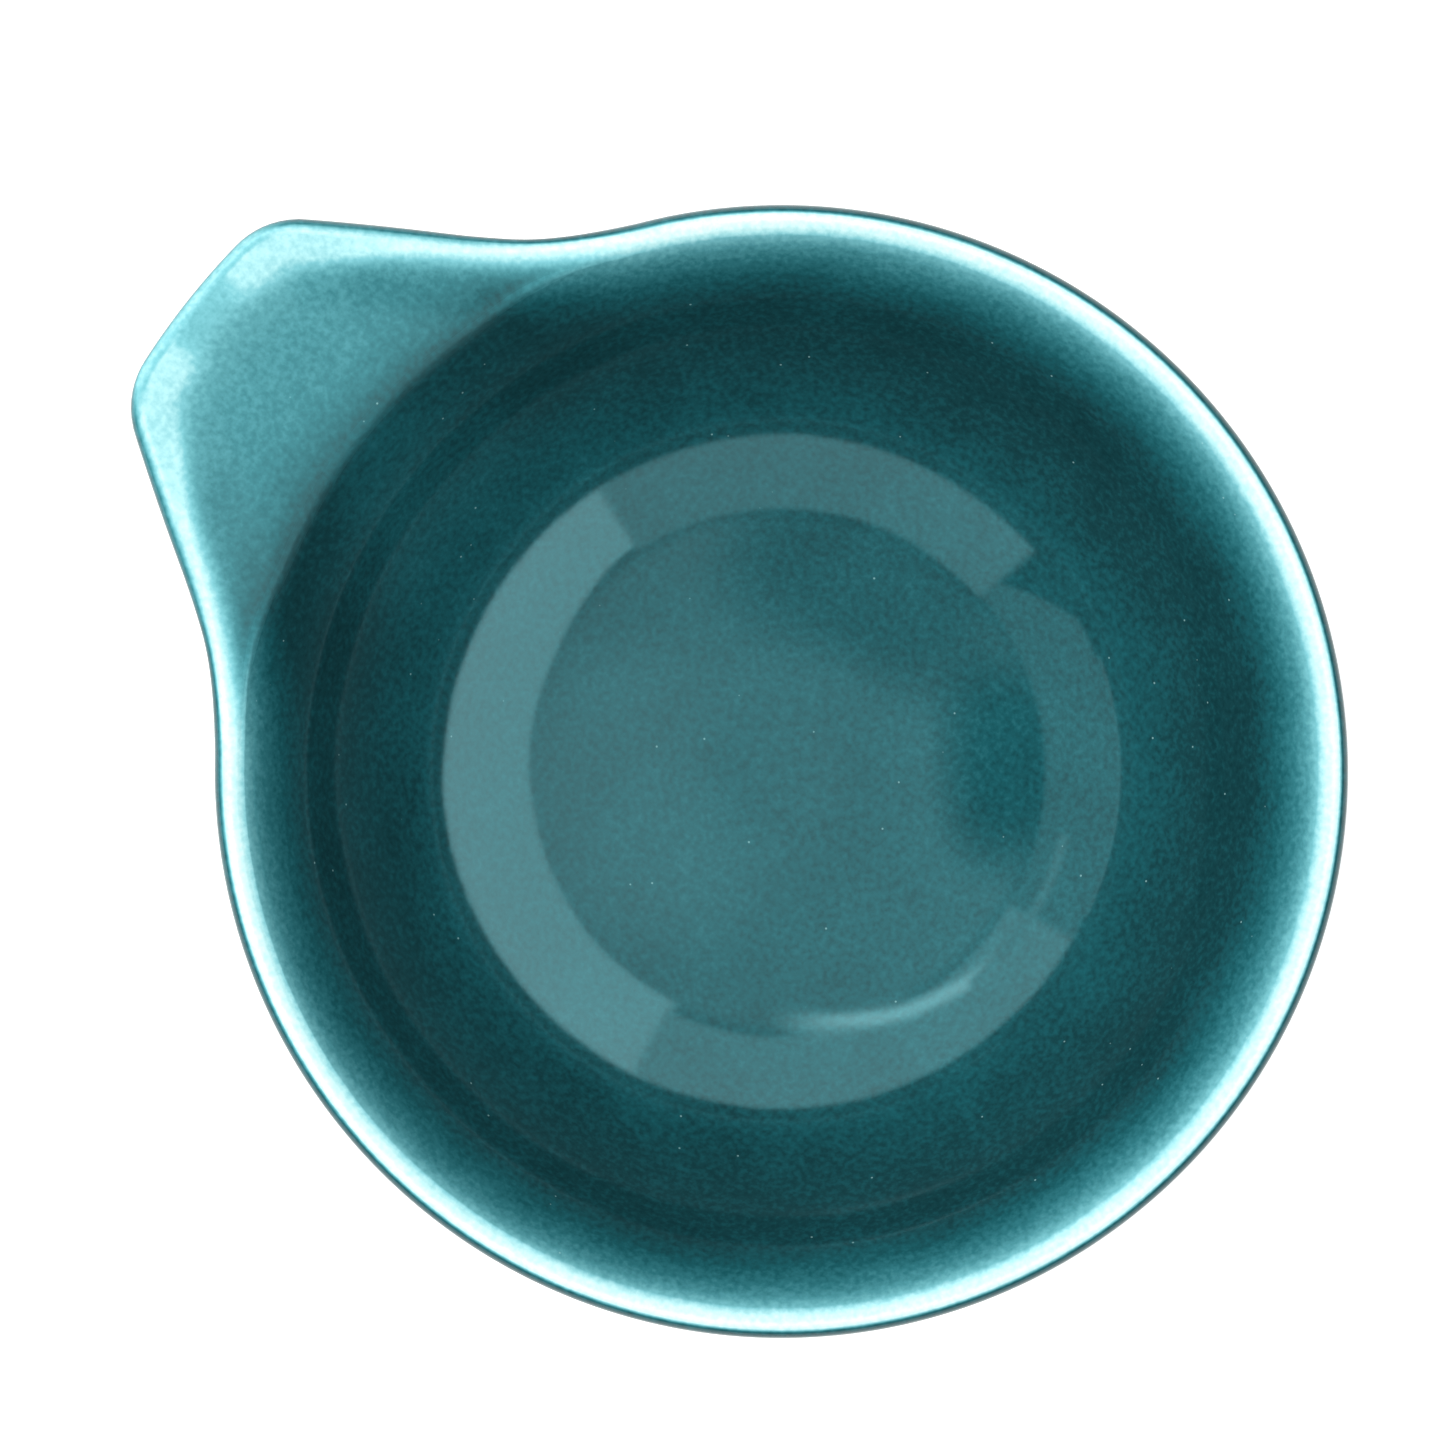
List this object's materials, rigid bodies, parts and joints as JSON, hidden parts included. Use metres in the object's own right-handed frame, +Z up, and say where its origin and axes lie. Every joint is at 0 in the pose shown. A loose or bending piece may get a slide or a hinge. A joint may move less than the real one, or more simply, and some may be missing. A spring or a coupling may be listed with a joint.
{
  "type": "lug-handled dish",
  "caption": "Deep round glazed pottery dish on a turned foot, with one tapered lug that carries the rim out into a broad, slightly hollowed grip.",
  "frame": {"origin": "on the bowl's axis, in the plane of the foot's seat", "axes": "+Z up along the bowl's axis, +X from the axis towards the lug, and the dish is the same on both sides of the XZ plane"},
  "size_m": [0.1803, 0.155, 0.0601],
  "materials": {
    "fired_clay": "bare, matt, fine grained",
    "teal_glaze": "glossy, paler where it runs thin on the rim and on the edges of the lug"
  },
  "bodies": {
    "root": {"bowl_body": "fired_clay", "foot_ring": "fired_clay", "lug_handle": "fired_clay", "inside_glaze": "teal_glaze", "outside_glaze": "teal_glaze", "base_glaze": "teal_glaze", "lug_glaze": "teal_glaze"}
  },
  "joints": []
}
